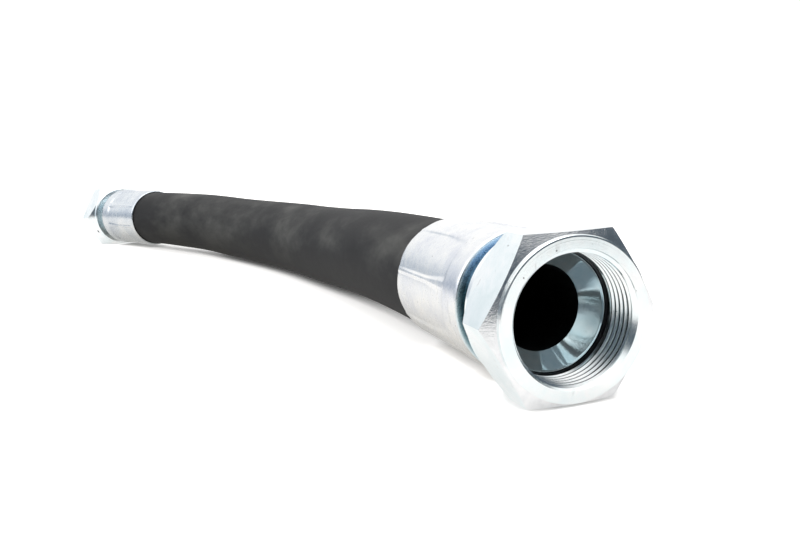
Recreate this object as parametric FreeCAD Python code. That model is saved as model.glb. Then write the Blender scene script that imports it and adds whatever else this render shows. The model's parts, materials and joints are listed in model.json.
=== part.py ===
"""Hydraulic hose assembly: a DN32 four-spiral hose with a crimped 37 degree swivel fitting at each end.

Millimetres. +Z is up and z = 0 is the surface that the assembly lies on. The origin is under the
middle of the assembly's bounding box, and +X points out of the near fitting, parallel to its axis.

Each fitting is drawn in its own frame: its axis is X, the mouth of its nut is the plane x = 0, and a
depth is a distance back from that plane towards the hose. It is then set at either end of the hose.
"""
import FreeCAD, Part
import math
import os

V = FreeCAD.Vector

# ---------------------------------------------------------------- driving dimensions

ACROSS_FLATS = 50.8            # 2 in hexagon of a size 20 swivel nut
THREAD_MAJOR = 41.275          # 1 5/8 - 12 UN
THREAD_PITCH = 25.4 / 12
HOSE_OD = 44.0                 # DN32, four wire spirals
HOSE_BORE = 31.8
FLOW_BORE = 27.4               # bore of the insert
SEAT_HALF_ANGLE = 37.0         # degrees

# hose route: straight runs, with the turn in plan at each inner point, in degrees
RUN = 75.7
TURNS = [2.8, 4.8, 6.0, 6.0, 5.5]
FLOOR_GAP = 0.1                # under the hose where it lies on the surface
ARC_SHARE = 0.45               # of the shorter run that each arc takes up

# offset from the near mouth's centre to the middle of the bounding box, in plan
MOUTH_X = 309.4
MOUTH_Y = 61.15

# hose layers, from the bore outwards: name and outer radius
LAYERS = [
    ("hose_inner_tube", 17.75),
    ("wire_spiral_1", 18.20),
    ("rubber_interlayer_1", 18.50),
    ("wire_spiral_2", 18.95),
    ("rubber_interlayer_2", 19.25),
    ("wire_spiral_3", 19.70),
    ("rubber_interlayer_3", 20.00),
    ("wire_spiral_4", 20.45),
    ("hose_cover", HOSE_OD / 2),
]

# depths in a fitting, back from the mouth of the nut
LAND_DEPTH = 1.9               # raised round land on the nut's front face
THREAD_END = 13.0
RELIEF_END = 14.1
SEAT_FRONT = 14.3              # front rim of the insert
SEAT_EDGE = 15.2               # where the seat cone starts
WIRE_DEPTH = 17.6              # groove of the retaining wire
HEX_REAR = 20.0                # where the flats end
NUT_REAR = 23.1
HEAD_REAR = 23.6
FERRULE_FRONT = 32.0
FLANGE_REAR = 36.5             # the ferrule's flange, locked in the insert's groove
HOSE_STOP = 42.0
CRIMP_FRONT = 44.5
COVER_STEP = 84.6              # inside the ferrule, in front of the cover's cut end
SHANK_END = 83.5
FERRULE_REAR = 88.6

# radii in a fitting
THREAD_MINOR_R = 19.5
MOUTH_R = 20.74
LAND_R = 24.64
COLLAR_R = 25.0                # round collar behind the flats
NUT_BORE_R = 19.05
HEAD_R = 18.98                 # runs in the nut's bore
SEAT_R = 18.2                  # outer edge of the seat cone
WIRE_R = 1.15
WIRE_GROOVE_R = 1.2
WIRE_RING_R = 19.0
WIRE_HOLE_R = 1.4              # where the wire is fed in, through one flat
NECK_R = 17.2
LOCK_R = 15.6                  # floor of the insert's groove
STOP_R = 17.0
BARB_CREST_R = 15.8
BARB_ROOT_R = 15.3
BARB_PITCH = 4.2
FERRULE_R = 24.0               # shoulder in front of the crimp
CRIMP_R = 23.3                 # face of each crimp
RIDGE_R = 23.75                # ridges left between the crimping dies
FERRULE_BORE_R = 20.55
SERRATION_R = 21.3
SERRATION_PITCH = 5.0
MOUTH_BORE_R = 22.1            # round the cover at the ferrule's rear
RIDGES = 8
RIDGE_START = 30.6             # degrees from +Y
LAYER_GAP = 0.3                # between the hose's cut faces and the steel

CORNER_R = ACROSS_FLATS / math.sqrt(3)
AXIS_HEIGHT = ACROSS_FLATS / 2


# ---------------------------------------------------------------- shape helpers

def turned(profile):
    """Solid turned about X from a closed list of (depth, radius)."""
    points = [V(-depth, 0, radius) for depth, radius in profile]
    face = Part.Face(Part.makePolygon(points + [points[0]]))
    return face.revolve(V(0, 0, 0), V(1, 0, 0), 360)


def ring(depth, ring_r, wire_r, sweep=360):
    """Ring of round wire about X."""
    circle = Part.Wire(Part.makeCircle(wire_r, V(-depth, 0, ring_r), V(0, 1, 0)))
    return Part.Face(circle).revolve(V(0, 0, 0), V(1, 0, 0), sweep)


def polar(depth, radius, degrees):
    """Point about X, with the angle from +Y towards +Z."""
    angle = math.radians(degrees)
    return V(-depth, radius * math.cos(angle), radius * math.sin(angle))


def single(shape):
    """The one solid that a cut or a fusion leaves."""
    shape = shape.removeSplitter()
    assert len(shape.Solids) == 1, "expected one solid"
    return shape.Solids[0]


# ---------------------------------------------------------------- swivel nut

def thread_profile():
    """Bore of the nut from the mouth to the relief, as (depth, radius)."""
    major_r = THREAD_MAJOR / 2
    start = 1.6
    teeth = int((THREAD_END - start) / THREAD_PITCH)
    points = [(0, MOUTH_R), (MOUTH_R - THREAD_MINOR_R, THREAD_MINOR_R)]
    for tooth in range(teeth):
        root = start + (tooth + 0.5) * THREAD_PITCH
        flank = THREAD_PITCH * 5 / 16
        points += [(root - THREAD_PITCH / 16 - flank, THREAD_MINOR_R),
                   (root - THREAD_PITCH / 16, major_r),
                   (root + THREAD_PITCH / 16, major_r),
                   (root + THREAD_PITCH / 16 + flank, THREAD_MINOR_R)]
    return points + [(THREAD_END, THREAD_MINOR_R)]


def swivel_nut():
    corners = [polar(0, CORNER_R, 60 * corner) for corner in range(7)]
    hexagon = Part.Face(Part.makePolygon(corners)).extrude(V(-HEX_REAR - 0.3, 0, 0))
    outline = turned([
        (0, 0), (0, 23.9), (0.8, LAND_R), (LAND_DEPTH, LAND_R), (3.7, CORNER_R + 0.01),
        (14.3, CORNER_R + 0.01), (HEX_REAR, COLLAR_R), (HEX_REAR, 0)])
    collar = turned([
        (HEX_REAR - 1, 0), (HEX_REAR - 1, COLLAR_R), (NUT_REAR - 0.6, COLLAR_R),
        (NUT_REAR, COLLAR_R - 0.6), (NUT_REAR, 0)])
    relief_r = THREAD_MAJOR / 2 + 0.25
    bore = turned([(-1, 0), (-1, MOUTH_R)] + thread_profile() + [
        (THREAD_END + 0.3, relief_r), (RELIEF_END - 0.3, relief_r), (RELIEF_END, NUT_BORE_R),
        (NUT_REAR - 0.5, NUT_BORE_R), (NUT_REAR, NUT_BORE_R + 0.5), (NUT_REAR + 1, NUT_BORE_R + 0.5),
        (NUT_REAR + 1, 0)])
    hole_angle = -30
    hole = Part.makeCylinder(WIRE_HOLE_R, 8, polar(WIRE_DEPTH, WIRE_RING_R, hole_angle),
                             polar(0, 1, hole_angle))
    body = hexagon.common(outline).fuse(collar).cut(bore)
    return single(body.cut(ring(WIRE_DEPTH, WIRE_RING_R, WIRE_GROOVE_R)).cut(hole))


def retaining_wire():
    """Round wire bent to an open ring. It keeps the nut on the insert."""
    open_ring = ring(WIRE_DEPTH, WIRE_RING_R, WIRE_R, 344)
    return open_ring.rotated(V(0, 0, 0), V(1, 0, 0), 8)


# ---------------------------------------------------------------- insert

def barbs():
    """Sawtooth barbs of the shank, as (depth, radius)."""
    first = HOSE_STOP + 1.5
    points = [(first, BARB_ROOT_R)]
    for barb in range(int((SHANK_END - 2 - first) / BARB_PITCH)):
        start = first + barb * BARB_PITCH
        points += [(start + 0.4, BARB_CREST_R), (start + 1.4, BARB_CREST_R),
                   (start + BARB_PITCH - 0.3, BARB_ROOT_R), (start + BARB_PITCH, BARB_ROOT_R)]
    return points


def insert():
    bore_r = FLOW_BORE / 2
    seat_end = SEAT_EDGE + (SEAT_R - bore_r) / math.tan(math.radians(SEAT_HALF_ANGLE))
    profile = [
        (SEAT_EDGE, SEAT_R), (SEAT_FRONT, 18.6), (SEAT_FRONT + 0.35, HEAD_R),
        (HEAD_REAR, HEAD_R), (HEAD_REAR + 0.9, NECK_R + 0.6), (HEAD_REAR + 1.5, NECK_R),
        (FERRULE_FRONT, NECK_R), (FERRULE_FRONT, LOCK_R), (FLANGE_REAR, LOCK_R),
        (FLANGE_REAR, STOP_R), (HOSE_STOP, STOP_R), (HOSE_STOP, BARB_ROOT_R)]
    profile += barbs()
    profile += [(SHANK_END - 1, BARB_ROOT_R), (SHANK_END, BARB_ROOT_R - 0.8),
                (SHANK_END, bore_r), (seat_end, bore_r)]
    return single(turned(profile).cut(ring(WIRE_DEPTH, WIRE_RING_R, WIRE_GROOVE_R)))


# ---------------------------------------------------------------- ferrule

def crimp_outline():
    """Closed wire round the crimp: a face from each die, and the ridge left between two dies."""
    step = 360 / RIDGES
    edges = []
    for ridge in range(RIDGES):
        middle = RIDGE_START + ridge * step
        marks = [(CRIMP_R, -3.4), (RIDGE_R, -1.5), (RIDGE_R, 1.5), (CRIMP_R, 3.4)]
        foot, top, top_end, foot_end = [polar(0, radius, middle + turn) for radius, turn in marks]
        crest = polar(0, RIDGE_R, middle)
        die_middle = polar(0, CRIMP_R, middle + step / 2)
        next_foot = polar(0, CRIMP_R, middle + step - 3.4)
        edges += [Part.makeLine(foot, top), Part.Arc(top, crest, top_end).toShape(),
                  Part.makeLine(top_end, foot_end), Part.Arc(foot_end, die_middle, next_foot).toShape()]
    return Part.Wire(edges)


def ferrule_bore():
    """Inside of the ferrule: flange hole, serrated grip and the mouth round the hose's cover."""
    points = [(FERRULE_FRONT - 1, 0), (FERRULE_FRONT - 1, LOCK_R), (FLANGE_REAR, LOCK_R),
              (FLANGE_REAR, FERRULE_BORE_R)]
    first = CRIMP_FRONT + 1
    for groove in range(int((COVER_STEP - 2 - first) / SERRATION_PITCH)):
        start = first + groove * SERRATION_PITCH
        points += [(start, FERRULE_BORE_R), (start + 0.9, SERRATION_R), (start + 2.4, SERRATION_R),
                   (start + 3.3, FERRULE_BORE_R)]
    return turned(points + [
        (COVER_STEP, FERRULE_BORE_R), (COVER_STEP, MOUTH_BORE_R),
        (FERRULE_REAR - 0.4, MOUTH_BORE_R), (FERRULE_REAR, MOUTH_BORE_R + 0.4),
        (FERRULE_REAR + 1, MOUTH_BORE_R + 0.4), (FERRULE_REAR + 1, 0)])


def ferrule():
    shoulder = turned([
        (FERRULE_FRONT, 0), (FERRULE_FRONT, 22.6), (FERRULE_FRONT + 0.9, 23.5),
        (FERRULE_FRONT + 2, FERRULE_R - 0.15), (CRIMP_FRONT - 2, FERRULE_R),
        (CRIMP_FRONT, CRIMP_R), (CRIMP_FRONT + 0.5, CRIMP_R), (CRIMP_FRONT + 0.5, 0)])
    crimp = Part.Face(crimp_outline()).extrude(V(CRIMP_FRONT - FERRULE_REAR, 0, 0))
    crimp.translate(V(-CRIMP_FRONT, 0, 0))
    ends = turned([
        (CRIMP_FRONT, 0), (CRIMP_FRONT, CRIMP_R), (CRIMP_FRONT + 1.5, RIDGE_R + 0.01),
        (FERRULE_REAR - 1.2, RIDGE_R + 0.01), (FERRULE_REAR, 22.9), (FERRULE_REAR, 0)])
    return single(crimp.common(ends).fuse(shoulder).cut(ferrule_bore()))


# ---------------------------------------------------------------- hose

def route_points():
    """Points of the hose's route from ferrule to ferrule, and its heading at the far end."""
    lying = HOSE_OD / 2 + FLOOR_GAP
    heights = [AXIS_HEIGHT, AXIS_HEIGHT, lying, lying, lying, AXIS_HEIGHT, AXIS_HEIGHT]
    point = V(MOUTH_X - FERRULE_REAR, MOUTH_Y, heights[0])
    points = [point]
    heading = 0
    for turn, height in zip(TURNS + [0], heights[1:]):
        direction = math.radians(heading)
        point = V(point.x - RUN * math.cos(direction), point.y - RUN * math.sin(direction), height)
        points.append(point)
        heading += turn
    return points, heading


def centre_line(points, lead):
    """Wire along the route: straight runs joined by tangent arcs, with a straight lead in each ferrule."""
    edges = []
    radii = []
    last = points[0] + (points[0] - points[1]).normalize() * lead
    for before, corner, after in zip(points, points[1:], points[2:]):
        into = (corner - before).normalize()
        out = (after - corner).normalize()
        half_turn = into.getAngle(out) / 2
        reach = ARC_SHARE * min((corner - before).Length, (after - corner).Length)
        radius = reach / math.tan(half_turn)
        inward = (out - into).normalize()
        middle = corner + inward * (radius / math.cos(half_turn) - radius)
        start = corner - into * reach
        end = corner + out * reach
        edges += [Part.makeLine(last, start), Part.Arc(start, middle, end).toShape()]
        radii.append(radius)
        last = end
    finish = points[-1] + (points[-1] - points[-2]).normalize() * lead
    edges.append(Part.makeLine(last, finish))
    return Part.Wire(edges), radii


def tube(path, inner_r, outer_r):
    """Round tube along a path."""
    first = path.OrderedEdges[0]
    start = first.valueAt(first.FirstParameter)
    along = first.tangentAt(first.FirstParameter)
    outer, inner = [path.makePipeShell([Part.Wire(Part.makeCircle(radius, start, along))], True, False)
                    for radius in (outer_r, inner_r)]
    return single(outer.cut(inner))


def hose_layers():
    points, _ = route_points()
    inner_r = HOSE_BORE / 2
    layers = {}
    for name, outer_r in LAYERS:
        cut = COVER_STEP if name == "hose_cover" else HOSE_STOP
        path, _ = centre_line(points, FERRULE_REAR - cut - LAYER_GAP)
        layers[name] = tube(path, inner_r, outer_r)
        expected = math.pi * (outer_r ** 2 - inner_r ** 2) * path.Length
        print(f"{name}: volume {layers[name].Volume:.0f}, section x length {expected:.0f}")
        inner_r = outer_r
    return layers


# ---------------------------------------------------------------- assembly

def fitting(side):
    return {
        f"{side}_swivel_nut": swivel_nut(),
        f"{side}_retaining_wire": retaining_wire(),
        f"{side}_insert": insert(),
        f"{side}_ferrule": ferrule(),
    }


def main():
    os.makedirs("parts", exist_ok=True)
    points, heading = route_points()
    near = FreeCAD.Placement(V(MOUTH_X, MOUTH_Y, AXIS_HEIGHT), FreeCAD.Rotation())
    outward = FreeCAD.Rotation(V(0, 0, 1), 180 + heading)
    far_mouth = points[-1] + outward.multVec(V(FERRULE_REAR, 0, 0))
    far = FreeCAD.Placement(far_mouth, outward)

    shapes = hose_layers()
    for side, placement in (("near", near), ("far", far)):
        for name, shape in fitting(side).items():
            shape.Placement = placement
            shapes[name] = shape
    for name, shape in shapes.items():
        assert shape.isValid(), name
        shape.exportStep(f"parts/{name}.step")

    path, radii = centre_line(points, 0)
    box = Part.makeCompound(list(shapes.values())).optimalBoundingBox(False)
    print("route points", [tuple(round(value, 2) for value in point) for point in points])
    print("arc radii", [round(radius) for radius in radii])
    print(f"free hose {path.Length:.1f}, far mouth {far_mouth}, heading {heading:.2f}")
    print(f"box x {box.XMin:.2f} {box.XMax:.2f}, y {box.YMin:.2f} {box.YMax:.2f}, "
          f"z {box.ZMin:.2f} {box.ZMax:.2f}")


main()
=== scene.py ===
import bmesh
import bpy
import json
import math
from mathutils import Matrix, Vector, noise


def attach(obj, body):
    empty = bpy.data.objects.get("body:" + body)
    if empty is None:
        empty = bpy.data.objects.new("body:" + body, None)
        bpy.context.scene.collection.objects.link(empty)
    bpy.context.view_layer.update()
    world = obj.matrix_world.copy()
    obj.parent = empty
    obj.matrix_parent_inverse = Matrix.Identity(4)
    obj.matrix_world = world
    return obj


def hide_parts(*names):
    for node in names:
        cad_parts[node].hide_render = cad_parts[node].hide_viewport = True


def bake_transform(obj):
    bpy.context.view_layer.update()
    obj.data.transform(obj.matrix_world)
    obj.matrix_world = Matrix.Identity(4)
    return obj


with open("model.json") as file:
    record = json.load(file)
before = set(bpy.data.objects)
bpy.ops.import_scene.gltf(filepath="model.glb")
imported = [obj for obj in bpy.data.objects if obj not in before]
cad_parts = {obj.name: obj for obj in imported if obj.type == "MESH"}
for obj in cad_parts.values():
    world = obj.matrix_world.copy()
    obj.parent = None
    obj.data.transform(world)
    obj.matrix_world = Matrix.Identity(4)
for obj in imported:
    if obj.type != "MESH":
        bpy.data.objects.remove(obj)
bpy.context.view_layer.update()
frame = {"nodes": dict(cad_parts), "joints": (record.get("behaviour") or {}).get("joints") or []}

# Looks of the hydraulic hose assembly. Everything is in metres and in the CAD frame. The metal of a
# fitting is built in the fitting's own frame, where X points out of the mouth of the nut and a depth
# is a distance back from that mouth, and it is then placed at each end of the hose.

MM = 0.001
joints = {joint["name"]: joint for joint in frame["joints"]}

# ---------------------------------------------------------------- dimensions, mm

ACROSS_FLATS = 50.8
MOUTH_R = 20.74                # chamfer of the thread at the mouth
FACE_R = 24.64                 # turned front of the nut
COLLAR_R = 25.0                # turned rear of the nut
THREAD_MAJOR_R = 20.64
THREAD_MINOR_R = 19.5
THREAD_PITCH = 25.4 / 12
THREAD_END = 13.0
HOSE_R = 22.0
HEAD_R = 18.98                 # insert's head, which the nut turns on
NUT_BORE_R = 19.05
WIRE_DEPTH = 17.6              # retaining wire, and the circle that it is bent to
WIRE_R = 19.0
GROOVE_R = 1.2
FEED_HOLE_R = 1.4
FEED_HOLE_ANGLE = -30
SEAT_ANGLE = 37                # degrees from the axis
SEAT_FRONT = 15.2
SEAT_FRONT_R = 18.2
INSERT_BORE_R = 13.7
STOP_R = 15.6                  # groove in the insert, which the front of the ferrule is pressed into
BARB_ROOT_R = 15.3
BARB_TIP_R = 15.8
FERRULE_FRONT = 32.0
CRIMP_FRONT = 44.5
FERRULE_REAR = 88.6
FERRULE_R = 24.0
CRIMP_R = 23.3
FERRULE_MOUTH_R = 22.1         # inside of the ferrule, round the cover and then round the wires
FERRULE_BORE_R = 20.55
RIDGES = 8
RIDGE_START = 30.6             # degrees from +Y towards +Z
COVER_LEAD = 3.7               # cover inside each ferrule's mouth
CORE_LEAD = 46.3               # inner layers inside each ferrule
WIRE_LAY = 54.7                # degrees between the wires and the hose's axis
CORNER_R = ACROSS_FLATS / math.sqrt(3)
COLUMNS = 192                  # round a turned piece

# hose layers inside the cover, from the bore outwards: node, inner radius, outer radius, material
CORE_LAYERS = [
    ("hose_inner_tube", 15.9, 17.75, "tube_rubber"),
    ("wire_spiral_1", 17.75, 18.20, "spiral_wire_right"),
    ("rubber_interlayer_1", 18.20, 18.50, "interlayer_rubber"),
    ("wire_spiral_2", 18.50, 18.95, "spiral_wire_left"),
    ("rubber_interlayer_2", 18.95, 19.25, "interlayer_rubber"),
    ("wire_spiral_3", 19.25, 19.70, "spiral_wire_right"),
    ("rubber_interlayer_3", 19.70, 20.00, "interlayer_rubber"),
    ("wire_spiral_4", 20.00, 20.45, "spiral_wire_left"),
]
CORE_R = 20.45

# centreline of the hose from ferrule to ferrule
ROUTE = [
    (0.22080, 0.06115, 0.02540),
    (0.14510, 0.06115, 0.02540),
    (0.06949, 0.05745, 0.02210),
    (-0.00554, 0.04744, 0.02210),
    (-0.07912, 0.02964, 0.02210),
    (-0.15044, 0.00425, 0.02540),
    (-0.21899, -0.02787, 0.02540),
]


# ---------------------------------------------------------------- camera

def add_camera():
    near_mouth = Vector(joints["near_nut_swivel"]["pos_m"])
    camera = bpy.data.objects.new("camera", bpy.data.cameras.new("camera"))
    bpy.context.scene.collection.objects.link(camera)
    right = Vector((0.33819, 0.93997, -0.04567))
    up = Vector((-0.12533, 0.09308, 0.98774))
    axes = Matrix((right, up, right.cross(up))).transposed()
    place = near_mouth + Vector((0.19085, -0.11992, 0.05111))
    camera.matrix_world = Matrix.Translation(place) @ axes.to_4x4()
    camera.data.sensor_width = 36
    camera.data.lens = 35.55
    camera.data.clip_start = 0.01
    bpy.context.scene.camera = camera


# ---------------------------------------------------------------- mesh helpers

def smooth(low, high, value):
    """0 below low, 1 above high, and a soft step between."""
    share = min(max((value - low) / (high - low), 0), 1)
    return share * share * (3 - 2 * share)


def polar(depth, radius, degrees):
    """Point of a fitting, in metres, with the angle from +Y towards +Z."""
    angle = math.radians(degrees)
    return Vector((-depth, radius * math.cos(angle), radius * math.sin(angle))) * MM


def join_rings(bm, ring, after, finish=0):
    """Band of faces between two closed rings of vertices, with a material's index."""
    for column in range(len(ring)):
        beside = (column + 1) % len(ring)
        bm.faces.new((ring[column], ring[beside], after[beside], after[column])).material_index = finish


def skin(bm, rows, closed=False, finishes=()):
    """Bands of faces between rows of points. closed joins the last row to the first. finishes gives the
    material's index of each band that doesn't have the first material."""
    rings = [[bm.verts.new(point) for point in row] for row in rows]
    if closed:
        rings.append(rings[0])
    finishes = dict(finishes)
    for band, (ring, after) in enumerate(zip(rings, rings[1:])):
        join_rings(bm, ring, after, finishes.get(band, 0))


def finish_mesh(bm, name, sharp=30):
    """Object from a bmesh, with doubles merged, faces pointing out and edges past the angle kept sharp."""
    bmesh.ops.remove_doubles(bm, verts=bm.verts, dist=2e-6)
    bmesh.ops.dissolve_degenerate(bm, edges=bm.edges, dist=1e-6)
    bmesh.ops.recalc_face_normals(bm, faces=bm.faces)
    mesh = bpy.data.meshes.new(name)
    bm.to_mesh(mesh)
    bm.free()
    mesh.shade_smooth()
    mesh.set_sharp_from_angle(angle=math.radians(sharp))
    piece = bpy.data.objects.new(name, mesh)
    bpy.context.scene.collection.objects.link(piece)
    return piece


def bevel(piece, width, angle=30):
    """Small rounding of every edge past the angle, width in mm."""
    modifier = piece.modifiers.new("edge_rounding", "BEVEL")
    modifier.width = width * MM
    modifier.segments = 2
    modifier.limit_method = "ANGLE"
    modifier.angle_limit = math.radians(angle)
    modifier.harden_normals = True


def lathe(bm, profile, finishes=()):
    """Closed ring turned about X from a closed list of (depth, radius)."""
    skin(bm, [[polar(depth, radius, 360 * column / COLUMNS) for column in range(COLUMNS)]
              for depth, radius in profile], closed=True, finishes=finishes)


def groove(outward):
    """Half round groove for the retaining wire, as (depth, radius). It opens outwards into the nut, or
    inwards into the insert."""
    steps = 8
    start = math.asin(0.05 / GROOVE_R) if outward else 0
    side = 1 if outward else -1
    points = []
    for step in range(steps + 1):
        angle = start + (math.pi - 2 * start) * step / steps
        points.append((WIRE_DEPTH + GROOVE_R * math.cos(angle), WIRE_R + side * GROOVE_R * math.sin(angle)))
    return points


# ---------------------------------------------------------------- swivel nut

TURNED, ROUGH, DRAWN, PAINTED_SHADE = range(4)      # finishes of the nut's faces, in the order of its materials


def hex_radius(degrees):
    """Distance from the axis to the hexagon's flat, at an angle."""
    return ACROSS_FLATS / 2 / math.cos(math.radians(degrees % 60 - 30))


def between(radius, start, end):
    """Point on the straight line of the profile from start to end, at a radius."""
    share = (radius - start[1]) / (end[1] - start[1])
    return (start[0] + (end[0] - start[0]) * share, radius)


def nut_outside(degrees):
    """Profile of the nut from the edge of the mouth round to the end of the thread, at an angle."""
    edge = hex_radius(degrees)
    mouth = [(0, MOUTH_R), (0, 23.95), (0, 24.05), (0.12, 24.4), (0.4, FACE_R), (1.9, FACE_R)]
    flat = [between(edge, (1.9, FACE_R), (3.7, CORNER_R)), between(edge, (20.0, COLLAR_R), (14.3, CORNER_R))]
    collar = [(20.0, COLLAR_R), (22.5, COLLAR_R), (23.1, 24.4)]
    bore = [(23.1, NUT_BORE_R + 0.5), (22.6, NUT_BORE_R)] + groove(True) + [(14.1, NUT_BORE_R)]
    thread_end = [(13.8, 20.89), (13.3, 20.89), (THREAD_END, 20.5), (THREAD_END, THREAD_MINOR_R)]
    return mouth + flat + collar + bore + thread_end


def thread_surface(bm):
    """Helical thread from the mouth's chamfer to its end. Its turns are cut off at both ends."""
    shape = [(-0.375, THREAD_MINOR_R), (-0.0625, THREAD_MAJOR_R),
             (0.0625, THREAD_MAJOR_R), (0.375, THREAD_MINOR_R)]      # (share of the pitch, radius)
    turns = range(-2, int(THREAD_END / THREAD_PITCH) + 2)
    stations = [(turn + offset, radius) for turn in turns for offset, radius in shape]
    rows = []
    for column in range(COLUMNS + 1):
        row = []
        for turn, radius in stations:
            depth = (turn + column / COLUMNS) * THREAD_PITCH
            kept = min(max(depth, 0), THREAD_END)
            if depth != kept:
                radius = THREAD_MINOR_R
            row.append(polar(kept, max(radius, MOUTH_R - kept), 360 * column / COLUMNS))
        rows.append([bm.verts.new(point) for point in row])
    for row, after in zip(rows, rows[1:]):
        for index in range(len(row) - 1):
            bm.faces.new((row[index], row[index + 1], after[index + 1], after[index]))


def drill(piece, depth, radius, degrees):
    """Hole from the outside into the bore, square to the axis."""
    bm = bmesh.new()
    bmesh.ops.create_cone(bm, cap_ends=True, segments=32, depth=10 * MM,
                          radius1=radius * MM, radius2=radius * MM)
    bmesh.ops.recalc_face_normals(bm, faces=bm.faces)
    mesh = bpy.data.meshes.new("drill")
    bm.to_mesh(mesh)
    bm.free()
    tool = bpy.data.objects.new("drill", mesh)
    bpy.context.scene.collection.objects.link(tool)
    centre = polar(depth, 24.5, degrees)
    outwards = Vector((0, centre.y, centre.z))
    tool.matrix_world = Matrix.Translation(centre) @ outwards.to_track_quat("Z", "X").to_matrix().to_4x4()
    cut = piece.modifiers.new("feed_hole", "BOOLEAN")
    cut.operation = "DIFFERENCE"
    cut.object = tool
    cut.solver = "EXACT"
    drilled = bpy.data.meshes.new_from_object(piece.evaluated_get(bpy.context.evaluated_depsgraph_get()))
    piece.modifiers.remove(cut)
    piece.data = drilled
    bpy.data.objects.remove(tool)


def swivel_nut(name):
    """Hexagon nut: turned faces, rough chamfers, drawn flats, and a dark material in the bore behind the
    thread, painted shade in that recess.
    """
    bm = bmesh.new()
    angles = [360 * column / COLUMNS for column in range(COLUMNS)]
    profiles = [nut_outside(angle) for angle in angles]
    last = len(profiles[0]) - 1
    rows = [[polar(*profile[station], angle) for profile, angle in zip(profiles, angles)]
            for station in range(last + 1)]
    # painted shade: the bore, wire groove and thread relief behind the thread get the dark material
    skin(bm, rows, finishes=[(5, ROUGH), (6, DRAWN)] + [(band, PAINTED_SHADE) for band in range(11, last)])
    thread_surface(bm)
    piece = finish_mesh(bm, name)
    drill(piece, WIRE_DEPTH, FEED_HOLE_R, FEED_HOLE_ANGLE)
    bevel(piece, 0.14)
    return piece


# ---------------------------------------------------------------- insert

def insert(name):
    """Nipple: seat, head, neck, stop groove for the ferrule, and barbs. The last band is its bore."""
    seat_end = SEAT_FRONT + 4.5 / math.tan(math.radians(SEAT_ANGLE))
    profile = [(seat_end, INSERT_BORE_R), (SEAT_FRONT, SEAT_FRONT_R), (14.3, 18.6), (14.65, HEAD_R)]
    profile += [(depth, radius) for depth, radius in reversed(groove(False)) if radius < HEAD_R]
    profile += [(23.6, HEAD_R), (24.5, 17.8), (25.1, 17.2), (FERRULE_FRONT, 17.2), (FERRULE_FRONT, STOP_R)]
    profile += [(36.5, STOP_R), (36.5, 17.0), (42.0, 17.0), (42.0, BARB_ROOT_R)]
    for barb in range(9):
        start = 43.5 + 4.2 * barb
        profile += [(start, BARB_ROOT_R), (start + 0.4, BARB_TIP_R)]
        profile += [(start + 1.4, BARB_TIP_R), (start + 3.9, BARB_ROOT_R)]
    profile += [(82.5, BARB_ROOT_R), (83.5, 14.5), (83.5, INSERT_BORE_R)]
    bm = bmesh.new()
    # painted shade: the last band, the bore, gets the dark material of the second slot
    lathe(bm, profile, finishes=[(len(profile) - 1, 1)])
    piece = finish_mesh(bm, name, sharp=20)
    bevel(piece, 0.12, angle=20)
    return piece


# ---------------------------------------------------------------- ferrule

def crimp_radius(depth, degrees):
    """Outside of the ferrule: shoulder, faces left by the crimping dies, and the ridges between them."""
    step = 360 / RIDGES
    number = round((degrees - RIDGE_START) / step)
    away = abs(degrees - RIDGE_START - number * step)
    front = 1 - smooth(CRIMP_FRONT - 2.0, CRIMP_FRONT + 0.3, depth)
    flare = 1 + 1.2 * (1 - smooth(CRIMP_FRONT, CRIMP_FRONT + 16, depth))
    ridge = 1 - smooth(0.9 * flare, 3.2 * flare, away)
    height = 0.62 + 0.08 * math.sin(2.1 * number)
    along = 1 - 0.75 * smooth(FERRULE_REAR - 15, FERRULE_REAR - 1, depth)
    belly = 0.12 * math.sin(math.pi * smooth(CRIMP_FRONT, FERRULE_REAR, depth))
    flat = 0.10 * math.cos(math.radians(away * 8)) - 0.05
    crimped = CRIMP_R + belly - flat + ridge * height * along
    rolled = 0.09 * math.sin(math.pi * smooth(36.0, 39.0, depth))
    shoulder = FERRULE_R - rolled
    return crimped + (shoulder - crimped) * front


def ferrule(name):
    """Crimped shell, with its columns of faces closest together at the ridges."""
    step = 360 / RIDGES
    half = [0.5, 1.1, 1.7, 2.4, 3.1, 3.8, 4.6, 5.5, 6.5, 8, 10, 14, 18]
    spread = [-step / 2] + [-offset for offset in reversed(half)] + [0] + half
    angles = [RIDGE_START + step * ridge + offset for ridge in range(RIDGES) for offset in spread]
    depths = [FERRULE_FRONT + 2, 35, 38, 41, 42.0, 42.6, 43.0, 43.4, 43.8, 44.2, 44.6, 44.9]
    depths += [46 + 1.5 * index for index in range(27)] + [86.2, 87.0]
    front = [(FERRULE_FRONT, STOP_R), (FERRULE_FRONT, 23.2), (FERRULE_FRONT + 0.15, 23.6)]
    front += [(FERRULE_FRONT + 0.5, 23.9)]
    rear = [(FERRULE_REAR - 0.2, 22.95), (FERRULE_REAR, 22.7), (FERRULE_REAR, 22.45)]
    rear += [(FERRULE_REAR - 0.4, FERRULE_MOUTH_R), (84.6, FERRULE_MOUTH_R), (84.6, FERRULE_BORE_R)]
    inside = []
    for tooth in reversed(range(7)):
        start = CRIMP_FRONT + 1 + 5 * tooth
        inside += [(start + 3.3, FERRULE_BORE_R), (start + 2.4, 21.3), (start + 0.9, 21.3)]
        inside += [(start, FERRULE_BORE_R)]
    inside += [(36.5, FERRULE_BORE_R), (36.5, STOP_R)]
    profiles = []
    for angle in angles:
        crimped = [(depth, crimp_radius(depth, angle)) for depth in depths]
        crimped += [(87.9, crimp_radius(87.9, angle) - 0.15)]
        profiles.append(front + crimped + rear + inside)
    rows = [[polar(*profile[station], angle) for profile, angle in zip(profiles, angles)]
            for station in range(len(profiles[0]))]
    bm = bmesh.new()
    skin(bm, rows, closed=True)
    return finish_mesh(bm, name, sharp=40)


# ---------------------------------------------------------------- hose

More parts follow.
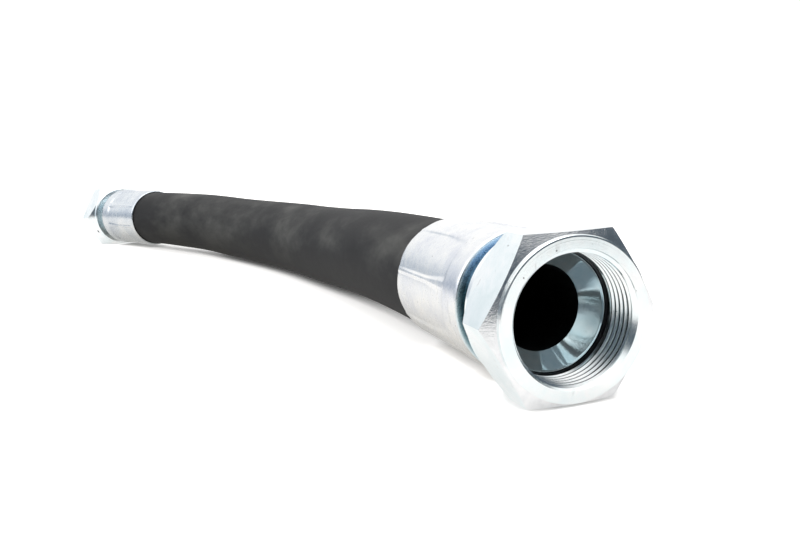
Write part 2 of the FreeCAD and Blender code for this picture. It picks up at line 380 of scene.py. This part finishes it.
def route_line():
    """Points along the smooth line through the route, in metres."""
    curve = bpy.data.curves.new("route", "CURVE")
    curve.dimensions = "3D"
    spline = curve.splines.new("NURBS")
    spline.points.add(len(ROUTE) - 1)
    for point, place in zip(spline.points, ROUTE):
        point.co = (*place, 1)
    spline.order_u = 3
    spline.use_endpoint_u = True
    spline.resolution_u = 40
    holder = bpy.data.objects.new("route", curve)
    mesh = bpy.data.meshes.new_from_object(holder)
    line = [vertex.co.copy() for vertex in mesh.vertices]
    bpy.data.objects.remove(holder)
    bpy.data.curves.remove(curve)
    bpy.data.meshes.remove(mesh)
    return line


def with_leads(line, lead, pieces):
    """The line with a straight lead, in mm, added at both ends, in short pieces."""
    first = (line[0] - line[1]).normalized() * lead * MM
    last = (line[-1] - line[-2]).normalized() * lead * MM
    head = [line[0] + first * (1 - index / pieces) for index in range(pieces)]
    return head + line + [line[-1] + last * (index + 1) / pieces for index in range(pieces)]


def hose_tube(name, line, columns, outer, inner):
    """Tube along a line. outer and inner give its radii in mm from the distance along it and the angle.
    'laid' keeps each point's place on the straightened hose, in metres, for the materials."""
    bm = bmesh.new()
    laid = bm.verts.layers.float_vector.new("laid")
    outers, inners = [], []
    along = 0
    for index, place in enumerate(line):
        ahead = line[min(index + 1, len(line) - 1)]
        behind = line[max(index - 1, 0)]
        if index:
            along += (place - line[index - 1]).length
        tangent = (ahead - behind).normalized()
        side = Vector((0, 0, 1)).cross(tangent).normalized()
        up = tangent.cross(side)
        for rings, radius_at in ((outers, outer), (inners, inner)):
            ring = []
            for column in range(columns):
                degrees = 360 * column / columns
                cosine = math.cos(math.radians(degrees))
                sine = math.sin(math.radians(degrees))
                radius = radius_at(along / MM, degrees) * MM
                vertex = bm.verts.new(place + (side * cosine + up * sine) * radius)
                vertex[laid] = (along, radius * cosine, radius * sine)
                ring.append(vertex)
            rings.append(ring)
    for rings in (outers, inners):
        for ring, after in zip(rings, rings[1:]):
            join_rings(bm, ring, after)
    join_rings(bm, outers[0], inners[0])
    join_rings(bm, outers[-1], inners[-1])
    return finish_mesh(bm, name, sharp=50)


def cover_radius(along, degrees):
    """Outside of the cover, with the slight unevenness of a wrapped and cured hose."""
    angle = math.radians(degrees)
    place = Vector((along / 38, math.cos(angle), math.sin(angle)))
    return HOSE_R - 0.1 + 0.09 * noise.noise(place) + 0.03 * noise.noise(place * 4.3)


# ---------------------------------------------------------------- material helpers

def feed(tree, target, inputs):
    """Give a node's inputs, each a value or another node's output."""
    for name, value in inputs.items():
        if isinstance(value, bpy.types.NodeSocket):
            tree.links.new(value, target.inputs[name])
        else:
            target.inputs[name].default_value = value


def node(tree, kind, inputs=None, **settings):
    """New shader node. settings are its own properties."""
    made = tree.nodes.new(kind)
    for name, value in settings.items():
        setattr(made, name, value)
    feed(tree, made, inputs or {})
    return made


def parts_of(tree, vector):
    """The three numbers of a vector."""
    return node(tree, "ShaderNodeSeparateXYZ", {0: vector}).outputs


def laid_place(tree):
    """The place on the straightened hose."""
    return node(tree, "ShaderNodeAttribute", attribute_name="laid").outputs["Vector"]


def math_node(tree, operation, first, second=0.0):
    return node(tree, "ShaderNodeMath", {0: first, 1: second}, operation=operation).outputs[0]


def weighted(tree, first, share, second):
    """A share of the first value and the rest of the second."""
    return math_node(tree, "ADD", math_node(tree, "MULTIPLY", first, share),
                     math_node(tree, "MULTIPLY", second, 1 - share))


def noise_node(tree, vector, scale, detail=4.0, roughness=0.55):
    return node(tree, "ShaderNodeTexNoise", {
        "Vector": vector, "Scale": scale, "Detail": detail, "Roughness": roughness}).outputs["Fac"]


def ramp(tree, factor, stops):
    """Colour ramp from (position, colour) stops."""
    made = node(tree, "ShaderNodeValToRGB", {"Fac": factor})
    elements = made.color_ramp.elements
    while len(elements) < len(stops):
        elements.new(0.5)
    for element, (position, colour) in zip(elements, stops):
        element.position = position
        element.color = (*colour, 1)
    return made.outputs["Color"]


def to_range(tree, value, low, high, new_low, new_high):
    return node(tree, "ShaderNodeMapRange", {
        "Value": value, "From Min": low, "From Max": high, "To Min": new_low, "To Max": new_high}).outputs[0]


def mix_colour(tree, factor, first, second, blend="MIX"):
    """Colour between two colours, whose inputs are a mix node's 6 and 7."""
    made = node(tree, "ShaderNodeMix", {0: factor, 6: first, 7: second}, data_type="RGBA", blend_type=blend)
    return made.outputs[2]


def bumps(tree, *layers):
    """Chain of bump nodes from (height, strength, distance in mm)."""
    normal = None
    for height, strength, distance in layers:
        inputs = {"Height": height, "Strength": strength, "Distance": distance * MM}
        if normal:
            inputs["Normal"] = normal
        normal = node(tree, "ShaderNodeBump", inputs).outputs[0]
    return normal


def new_material(name):
    """Material with an empty Principled shader, as (material, tree, shader)."""
    material = bpy.data.materials.new(name)
    material.use_nodes = True
    return material, material.node_tree, material.node_tree.nodes["Principled BSDF"]


# ---------------------------------------------------------------- materials

def rubber_cover():
    """Matt black cover with soft grey smears, painted shade that makes its lower side darker and browner, and
    the fine weave left by the wrapping it was cured in."""
    material, tree, shader = new_material("cover_rubber")
    laid = laid_place(tree)
    stretched = node(tree, "ShaderNodeMapping", {
        "Vector": laid, "Scale": (0.5, 1, 1), "Rotation": (0, 0.2, 0.3)}).outputs[0]
    smears = noise_node(tree, stretched, 42, 5, 0.6)
    patches = noise_node(tree, stretched, 13, 3)
    cloud = weighted(tree, smears, 0.6, patches)
    colour = ramp(tree, cloud, [(0.40, (0.020, 0.020, 0.021)), (0.47, (0.029, 0.029, 0.030)),
                                (0.54, (0.053, 0.053, 0.052)), (0.64, (0.10, 0.10, 0.095))])
    weave = node(tree, "ShaderNodeTexWave", {
        "Vector": laid, "Scale": 420.0, "Distortion": 1.5, "Detail": 1.0},
        wave_type="BANDS", bands_direction="X").outputs["Fac"]
    grain = noise_node(tree, laid, 2600, 2)
    lumps = noise_node(tree, laid, 160, 3)
    # painted shade: the cover's colour turns darker and browner towards its bottom
    upper = to_range(tree, parts_of(tree, laid)[2], -19 * MM, 4 * MM, 0.0, 1.0)
    lower_side = mix_colour(tree, 1.0, colour, (0.16, 0.14, 0.11, 1), "MULTIPLY")
    feed(tree, shader, {
        "Base Color": mix_colour(tree, upper, lower_side, colour),
        "Roughness": to_range(tree, cloud, 0.4, 0.9, 0.62, 0.8),
        "Specular IOR Level": 0.13,
        "Normal": bumps(tree, (lumps, 0.35, 0.25), (weave, 0.12, 0.05), (grain, 0.25, 0.06))})
    return material


def plain_rubber(name, colour):
    """Smooth extruded rubber with faint flow marks."""
    material, tree, shader = new_material(name)
    marks = node(tree, "ShaderNodeMapping", {"Vector": laid_place(tree), "Scale": (0.05, 1, 1)})
    flow = noise_node(tree, marks.outputs[0], 500)
    light = tuple(channel * 1.7 for channel in colour)
    feed(tree, shader, {
        "Base Color": ramp(tree, flow, [(0.3, colour), (0.7, light)]),
        "Roughness": to_range(tree, flow, 0, 1, 0.4, 0.6),
        "Normal": bumps(tree, (flow, 0.2, 0.05))})
    return material


def spiral_wire(name, lay):
    """144 brassed high tensile wires side by side. lay is 1 or -1, for the way that they are wound."""
    material, tree, shader = new_material(name)
    laid = laid_place(tree)
    along, across, up = parts_of(tree, laid)
    angle = math_node(tree, "ARCTAN2", up, across)
    twist = math_node(tree, "MULTIPLY", along, lay * math.tan(math.radians(WIRE_LAY)) / 0.019)
    wires = math_node(tree, "SINE", math_node(tree, "MULTIPLY", math_node(tree, "ADD", angle, twist), 144))
    tone = noise_node(tree, laid, 300)
    feed(tree, shader, {
        "Base Color": ramp(tree, tone, [(0.3, (0.42, 0.36, 0.26)), (0.7, (0.62, 0.54, 0.40))]),
        "Roughness": to_range(tree, tone, 0, 1, 0.25, 0.45),
        "Metallic": 1,
        "Normal": bumps(tree, (wires, 0.8, 0.15))})
    return material


def turned_coordinates(tree):
    """The fitting's own coordinates: the place, the distance along the axis and the radius, in metres."""
    place = node(tree, "ShaderNodeTexCoord").outputs["Object"]
    along, across, up = parts_of(tree, place)
    flat = node(tree, "ShaderNodeCombineXYZ", {1: across, 2: up}).outputs[0]
    radius = node(tree, "ShaderNodeVectorMath", {0: flat}, operation="LENGTH").outputs["Value"]
    return place, along, radius


def with_specks(tree, colour, place):
    """The colour with a few dark pinpricks and short faint scuffs in it."""
    cells = node(tree, "ShaderNodeTexVoronoi", {"Vector": place, "Scale": 330.0})
    near = math_node(tree, "LESS_THAN", cells.outputs["Distance"], 0.075)
    chosen = math_node(tree, "GREATER_THAN", parts_of(tree, cells.outputs["Color"])[0], 0.93)
    specks = math_node(tree, "MULTIPLY", near, chosen)
    slanted = node(tree, "ShaderNodeMapping", {
        "Vector": place, "Scale": (1, 1, 0.22), "Rotation": (0.5, 0.3, 0)}).outputs[0]
    scuffs = to_range(tree, noise_node(tree, slanted, 420, 3), 0.65, 0.75, 0.0, 0.35)
    scuffed = mix_colour(tree, scuffs, colour, (0.42, 0.43, 0.44, 1))
    return mix_colour(tree, specks, scuffed, (0.10, 0.10, 0.11, 1))


def zinc(name, tones, rough, lathe_marks, grain_strength, anisotropy=0.0, grain_scale=3800, metallic=1.0):
    """Bright zinc plating with a pale blue passivation, over turned or drawn steel. tones are three colours,
    and rough is the lowest and the highest roughness."""
    material, tree, shader = new_material(name)
    place, along, radius = turned_coordinates(tree)
    if anisotropy:
        tangent = node(tree, "ShaderNodeTangent", direction_type="RADIAL", axis="X").outputs[0]
        feed(tree, shader, {"Anisotropic": anisotropy, "Tangent": tangent})
    tint = noise_node(tree, place, 75, 3)
    film = noise_node(tree, place, 420, 3)
    cloud = weighted(tree, tint, 0.7, film)
    colour = ramp(tree, cloud, [(0.34, tones[0]), (0.5, tones[1]), (0.64, tones[2])])
    turned = node(tree, "ShaderNodeCombineXYZ", {0: along, 1: radius}).outputs[0]
    marks = noise_node(tree, turned, 5200, 2)
    coarse = noise_node(tree, turned, 1300, 2)
    grain = noise_node(tree, place, grain_scale, 3)
    feed(tree, shader, {
        "Base Color": with_specks(tree, colour, place),
        "Roughness": to_range(tree, weighted(tree, grain, 0.5, film), 0.3, 0.7, rough[0], rough[1]),
        "Metallic": metallic,
        "Normal": bumps(tree, (coarse, lathe_marks, 0.03), (marks, lathe_marks, 0.012),
                        (grain, grain_strength, 0.06))})
    return material


def paint_ferrule_underside_shade(material):
    """Paints shade into the lower side of a ferrule: darker and faintly yellow, a painted reflection of the
    shaded floor below it.
    """
    tree = material.node_tree
    shader = tree.nodes["Principled BSDF"]
    plain = shader.inputs["Base Color"].links[0].from_socket
    height = parts_of(tree, turned_coordinates(tree)[0])[2]
    # painted shade: darker and faintly yellow towards the bottom of the ferrule
    shade_share = to_range(tree, height, 6 * MM, -16 * MM, 0.0, 1.0)
    feed(tree, shader, {"Base Color": mix_colour(tree, shade_share, plain, (0.64, 0.625, 0.59, 1), "MULTIPLY")})


def painted_front_face_shade(material):
    """Blue passivation on a ferrule's front face, with painted shade in its colour: it darkens inwards
    towards the nut, where the gap between the parts lies in shade, and it is darker below than above. The
    strong blue above is partly a painted reflection of the surroundings.
    """
    tree = material.node_tree
    shader = tree.nodes["Principled BSDF"]
    outside = shader.inputs["Base Color"].links[0].from_socket
    place, along, radius = turned_coordinates(tree)
    at_front = to_range(tree, along, -(FERRULE_FRONT + 0.5) * MM, -(FERRULE_FRONT + 0.1) * MM, 0.0, 1.0)
    inwards = to_range(tree, radius, 23.6 * MM, 18.8 * MM, 0.0, 1.0)
    # painted shade: both ramps darken inwards towards the nut, the lower one sooner and further
    upper_painted_shade = ramp(tree, inwards, [(0.0, (0.74, 0.85, 0.92)), (0.2, (0.48, 0.68, 0.92)),
                                (0.5, (0.30, 0.50, 0.74)), (0.9, (0.05, 0.10, 0.15))])
    lower_painted_shade = ramp(tree, inwards, [(0.0, (0.66, 0.74, 0.76)), (0.2, (0.30, 0.42, 0.46)),
                                 (0.45, (0.06, 0.13, 0.16)), (0.9, (0.015, 0.03, 0.04))])
    above = to_range(tree, parts_of(tree, place)[2], 6 * MM, 16 * MM, 0.0, 1.0)
    # painted shade of the front face, bluer above and darker below
    film = mix_colour(tree, above, lower_painted_shade, upper_painted_shade)
    feed(tree, shader, {"Base Color": mix_colour(tree, at_front, outside, film)})


# ---------------------------------------------------------------- studio

def add_world():
    """White surroundings for the metal to mirror: dimmer below, with a dark part low in front of the near
    end, where a dim room would be, and a bright part behind. The camera sees plain white."""
    world = bpy.data.worlds.new("studio")
    bpy.context.scene.world = world
    world.use_nodes = True
    tree = world.node_tree
    x, y, z = parts_of(tree, node(tree, "ShaderNodeTexCoord").outputs["Generated"])
    in_front = math_node(tree, "MAXIMUM", to_range(tree, x, 0.2, 0.3, 0.0, 1.0),
                         to_range(tree, y, 0.55, 0.65, 0.0, 1.0))
    dim = math_node(tree, "MULTIPLY", in_front, to_range(tree, z, 0.47, 0.58, 1.0, 0.0))
    sky = ramp(tree, z, [(0.0, (0.50, 0.56, 0.64)), (0.12, (0.56, 0.62, 0.70)),
                         (0.24, (0.96, 0.99, 1.02)), (0.45, (1.15, 1.15, 1.15))])
    behind = math_node(tree, "MULTIPLY", to_range(tree, y, -0.15, 0.15, 0.0, 1.0),
                       to_range(tree, x, -0.2, -0.5, 0.0, 1.0))
    bright = mix_colour(tree, behind, sky, (1.15, 1.15, 1.15, 1))
    mirrored = mix_colour(tree, dim, bright, (0.09, 0.115, 0.14, 1))
    seen = node(tree, "ShaderNodeLightPath").outputs["Is Camera Ray"]
    feed(tree, tree.nodes["Background"], {
        "Color": mix_colour(tree, seen, mirrored, (1.2, 1.2, 1.2, 1)),
        "Strength": 1.0})


def add_floor():
    """Pale sheet on the floor, with a painted glow: faint white for the camera, which an ambient occlusion
    node fades into a painted contact shadow within 5 mm of the object, and a glow in the metal's reflections.
    It throws less light on the object than it shows.
    Its front edge and notch give the nut something dark to mirror."""
    edge = 0.74
    bm = bmesh.new()
    outline = [(-11, -6), (edge, -6), (edge, -0.13), (0.45, -0.13), (0.45, 0), (edge, 0), (edge, 6), (-11, 6)]
    bm.faces.new([bm.verts.new((x, y, 0)) for x, y in outline])
    floor = finish_mesh(bm, "floor")
    material, tree, shader = new_material("white_sweep")
    tone = noise_node(tree, node(tree, "ShaderNodeTexCoord").outputs["Object"], 3)
    pale = ramp(tree, tone, [(0.3, (0.89, 0.875, 0.86)), (0.7, (0.91, 0.895, 0.88))])
    path = node(tree, "ShaderNodeLightPath").outputs
    # painted contact shadow: the glow that the camera sees fades within 5 mm of the object
    open_air = node(tree, "ShaderNodeAmbientOcclusion", {"Distance": 0.005}, samples=16).outputs["AO"]
    seen = math_node(tree, "MULTIPLY", path["Is Camera Ray"], to_range(tree, open_air, 0.15, 0.8, 0.05, 0.66))
    # painted glow that only the metal's reflections see
    mirrored = math_node(tree, "MULTIPLY", path["Is Glossy Ray"], 0.56)
    feed(tree, shader, {
        "Base Color": mix_colour(tree, path["Is Camera Ray"], (0.48, 0.475, 0.47, 1), pale),
        "Roughness": 0.6,
        "Emission Color": (1, 0.99, 0.975, 1),
        "Emission Strength": math_node(tree, "ADD", seen, mirrored)})
    floor.data.materials.append(material)


def add_light(name, place, target, size, power, colour):
    """Rectangular softbox, aimed at a point."""
    lamp = bpy.data.lights.new(name, "AREA")
    lamp.shape = "RECTANGLE"
    lamp.size, lamp.size_y = size
    lamp.energy = power
    lamp.color = colour
    light = bpy.data.objects.new(name, lamp)
    light.location = place
    light.rotation_mode = "QUATERNION"
    light.rotation_quaternion = (Vector(target) - Vector(place)).to_track_quat("-Z", "Y")
    bpy.context.scene.collection.objects.link(light)


def add_studio():
    add_world()
    add_floor()
    add_light("top_softbox", (0.0, 0.1, 1.5), (0, 0, 0), (1.8, 1.2), 9, (1.0, 0.99, 0.98))
    add_light("left_softbox", (-0.3, -1.3, 0.9), (0.1, 0, 0), (1.2, 0.9), 3, (0.96, 0.98, 1.0))


# ---------------------------------------------------------------- assembly

def place_fitting(side, materials):
    """Nut, insert and ferrule of one end, beside the CAD's retaining wire. Gives all four back."""
    joint = joints[f"{side}_nut_swivel"]
    axis = Vector(joint["axis"])
    turn = Matrix.Rotation(math.atan2(axis.y, axis.x), 4, "Z")
    placement = Matrix.Translation(Vector(joint["pos_m"])) @ turn
    nut_finishes = ["zinc_nut", "zinc_rough", "zinc_drawn", "painted_shade_steel"]
    pieces = []
    for part, build, body, slot, finishes in (
            ("swivel_nut", swivel_nut, f"{side}_nut", "zinc_nut", nut_finishes),
            ("insert", insert, f"{side}_end", "zinc_insert", ["zinc_seat", "painted_shade_steel"]),
            ("ferrule", ferrule, f"{side}_end", "zinc_ferrule", [f"zinc_ferrule_{side}"])):
        piece = build(f"{side}_{part}_finished")
        for finish in finishes:
            piece.data.materials.append(materials[finish])
        piece.matrix_world = placement
        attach(piece, body)
        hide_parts(f"{side}_{part}")
        pieces.append(piece)
    wire = frame["nodes"][f"{side}_retaining_wire"]
    for slot in wire.material_slots:
        slot.material = materials["spring_wire"]
    return pieces + [wire]


def even_radius(radius):
    """Radius for hose_tube that is the same everywhere."""
    return lambda along, degrees: radius


def make_hose(materials):
    """Every layer is a tube along the hose's line, from one end to the other."""
    line = route_line()
    core = with_leads(line, CORE_LEAD, 6)
    cover_line = with_leads(line, COVER_LEAD, 3)
    cover = hose_tube("hose_cover_finished", cover_line, 128, cover_radius, even_radius(CORE_R))
    layers = [(cover, "hose_cover", "cover_rubber")]
    for name, inner, outer, finish in CORE_LAYERS:
        piece = hose_tube(f"{name}_finished", core, 96, even_radius(outer), even_radius(inner))
        layers.append((piece, name, finish))
    for piece, name, finish in layers:
        piece.data.materials.append(materials[finish])
        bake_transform(piece)
        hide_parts(name)
    return cover, line


def make_materials():
    """Every finish of the object, by name."""
    materials = {
        "cover_rubber": rubber_cover(),
        "tube_rubber": plain_rubber("tube_rubber", (0.015, 0.015, 0.016)),
        "interlayer_rubber": plain_rubber("interlayer_rubber", (0.02, 0.019, 0.018)),
        "spiral_wire_right": spiral_wire("spiral_wire_right", 1),
        "spiral_wire_left": spiral_wire("spiral_wire_left", -1),
        "zinc_nut": zinc("zinc_nut", [(0.82, 0.90, 0.92), (0.90, 0.95, 0.955), (0.96, 0.97, 0.97)],
                         (0.14, 0.24), 0.35, 0.035, anisotropy=0.5),
        "zinc_rough": zinc("zinc_rough", [(0.74, 0.75, 0.76), (0.88, 0.89, 0.90), (0.97, 0.97, 0.97)],
                           (0.12, 0.28), 0.1, 1.0, grain_scale=2200),
        "zinc_drawn": zinc("zinc_drawn", [(0.77, 0.84, 0.85), (0.84, 0.89, 0.90), (0.91, 0.93, 0.93)],
                           (0.16, 0.28), 0.0, 0.04),
        "zinc_seat": zinc("zinc_seat", [(0.68, 0.84, 0.90), (0.78, 0.91, 0.95), (0.88, 0.96, 0.98)],
                          (0.03, 0.07), 0.06, 0.0, anisotropy=0.6, metallic=0.7),
        "zinc_ferrule_near": zinc("zinc_ferrule_near", [(0.68, 0.70, 0.75), (0.80, 0.81, 0.82),
                                                        (0.89, 0.88, 0.86)], (0.18, 0.34), 0.12, 0.08),
        # painted shade: the far ferrule is the same part as the near one, given darker tones
        "zinc_ferrule_far": zinc("zinc_ferrule_far", [(0.56, 0.60, 0.66), (0.66, 0.70, 0.74),
                                                      (0.76, 0.78, 0.80)], (0.18, 0.34), 0.12, 0.08),
        # painted shade: dark steel for the bores and the thread relief, where shade falls
        "painted_shade_steel": zinc("painted_shade_steel", [(0.05, 0.055, 0.06), (0.07, 0.075, 0.08), (0.1, 0.1, 0.1)],
                            (0.35, 0.5), 0.2, 0.03),
        "spring_wire": zinc("spring_wire", [(0.30, 0.30, 0.30), (0.38, 0.38, 0.37), (0.45, 0.45, 0.44)],
                            (0.3, 0.4), 0.1, 0.07),
    }
    paint_ferrule_underside_shade(materials["zinc_ferrule_far"])
    paint_ferrule_underside_shade(materials["zinc_ferrule_near"])
    painted_front_face_shade(materials["zinc_ferrule_near"])
    return materials


def main():
    add_camera()
    add_studio()
    materials = make_materials()
    cover, line = make_hose(materials)
    place_fitting("near", materials)
    far_pieces = place_fitting("far", materials)
    bpy.context.scene.view_settings.view_transform = "Standard"


main()
